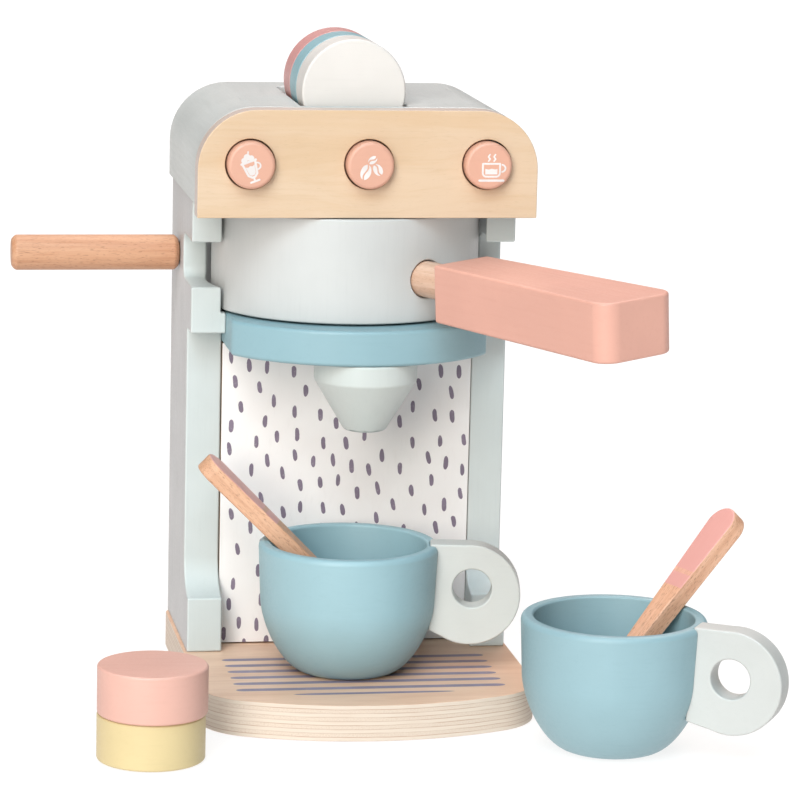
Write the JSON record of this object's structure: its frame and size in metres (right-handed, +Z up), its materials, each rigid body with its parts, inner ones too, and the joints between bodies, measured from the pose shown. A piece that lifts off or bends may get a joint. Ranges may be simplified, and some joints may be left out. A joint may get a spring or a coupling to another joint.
{
  "type": "toy coffee maker",
  "caption": "Wooden toy coffee maker with a turning drum and handle, press buttons, a pod slot, a side lever, and loose cups, spoons and pods for pretend play.",
  "frame": {"origin": "centre of the plywood base's plan, on its underside, where the toy stands on a table", "axes": "+Z up, -Y towards the front with the buttons, +X to the right as seen from the front"},
  "size_m": [0.2991, 0.2327, 0.2795],
  "materials": {
    "mint_paint": "matt water-based paint on beech",
    "blue_paint": "matt water-based paint on beech",
    "pink_paint": "matt water-based paint on beech",
    "yellow_paint": "matt water-based paint on beech",
    "white_paint": "matt water-based paint on beech",
    "printed_board": "white board with printed strokes",
    "birch_veneer": "lacquered birch veneer",
    "plywood": "lacquered plywood with layered edges",
    "beech": "oiled beech",
    "spring_wire": "drawn wire",
    "screw_steel": "zinc plated"
  },
  "bodies": {
    "frame": {"base_plate": "plywood", "left_side_panel": "mint_paint", "right_side_panel": "mint_paint", "splash_panel": "printed_board", "rear_panel": "mint_paint", "hood": "mint_paint", "hood_back": "mint_paint", "fascia": "birch_veneer", "spring_board": "plywood", "ceiling_board": "plywood", "pod_tray": "plywood", "drip_shelf": "blue_paint", "spout": "mint_paint", "spout_peg": "beech", "drum_axle": "beech", "lever_peg": "beech", "base_screws": "screw_steel", "rear_screws": "screw_steel", "spring_left": "spring_wire", "spring_centre": "spring_wire", "spring_right": "spring_wire"},
    "drum": {"drum": "mint_paint", "handle_dowel": "beech", "handle_grip": "pink_paint"},
    "lever": {"side_lever": "beech"},
    "left_button": {"button_left": "pink_paint", "button_washer_left": "screw_steel"},
    "centre_button": {"button_centre": "pink_paint", "button_washer_centre": "screw_steel"},
    "right_button": {"button_right": "pink_paint", "button_washer_right": "screw_steel"},
    "white_pod": {"pod_white": "white_paint"},
    "blue_pod": {"pod_blue": "blue_paint"},
    "pink_pod": {"pod_pink": "pink_paint"},
    "loose_pink_pod": {"pod_pink_loose": "pink_paint"},
    "yellow_pod": {"pod_yellow": "yellow_paint"},
    "first_cup": {"cup_one": "blue_paint", "cup_one_handle": "mint_paint"},
    "second_cup": {"cup_two": "blue_paint", "cup_two_handle": "mint_paint"},
    "first_spoon": {"spoon_one": "beech"},
    "second_spoon": {"spoon_two": "beech"}
  },
  "joints": [
    {"name": "drum_turn", "type": "hinge", "parent": "frame", "child": "drum", "pos_m": [-0.0009, 0.0275, 0.181], "axis": [0, 0, 1], "range_deg": [-116, 60]},
    {"name": "lever_turn", "type": "hinge", "parent": "frame", "child": "lever", "pos_m": [-0.1, 0.0535, 0.1811], "axis": [1, 0, 0], "continuous": true},
    {"name": "press_left_button", "type": "slide", "parent": "frame", "child": "left_button", "axis": [0, 1, 0], "range_m": [0, 0.003], "stiffness_N_per_m": 250, "springref_m": -0.004, "deforming": ["spring_left"]},
    {"name": "press_centre_button", "type": "slide", "parent": "frame", "child": "centre_button", "axis": [0, 1, 0], "range_m": [0, 0.003], "stiffness_N_per_m": 250, "springref_m": -0.004, "deforming": ["spring_centre"]},
    {"name": "press_right_button", "type": "slide", "parent": "frame", "child": "right_button", "axis": [0, 1, 0], "range_m": [0, 0.003], "stiffness_N_per_m": 250, "springref_m": -0.004, "deforming": ["spring_right"]},
    {"name": "lift_white_pod", "type": "slide", "parent": "frame", "child": "white_pod", "axis": [0, 0, 1], "range_m": [0, 0.06]},
    {"name": "lift_blue_pod", "type": "slide", "parent": "frame", "child": "blue_pod", "axis": [0, 0, 1], "range_m": [0, 0.06]},
    {"name": "lift_pink_pod", "type": "slide", "parent": "frame", "child": "pink_pod", "axis": [0, 0, 1], "range_m": [0, 0.06]},
    {"name": "lift_loose_pink_pod", "type": "slide", "parent": "yellow_pod", "child": "loose_pink_pod", "axis": [0, 0, 1], "range_m": [0, 0.06]},
    {"name": "lift_yellow_pod", "type": "slide", "parent": "frame", "child": "yellow_pod", "axis": [0, 0, 1], "range_m": [0, 0.06]},
    {"name": "pull_first_cup", "type": "slide", "parent": "frame", "child": "first_cup", "axis": [-0.3, -0.9539, 0], "range_m": [0, 0.045]},
    {"name": "lift_second_cup", "type": "slide", "parent": "frame", "child": "second_cup", "axis": [0, 0, 1], "range_m": [0, 0.04]},
    {"name": "draw_first_spoon", "type": "slide", "parent": "first_cup", "child": "first_spoon", "axis": [-0.6971, 0.2237, 0.6812], "range_m": [0, 0.04]},
    {"name": "draw_second_spoon", "type": "slide", "parent": "second_cup", "child": "second_spoon", "axis": [0.6341, 0.2454, 0.7333], "range_m": [0, 0.04]}
  ]
}
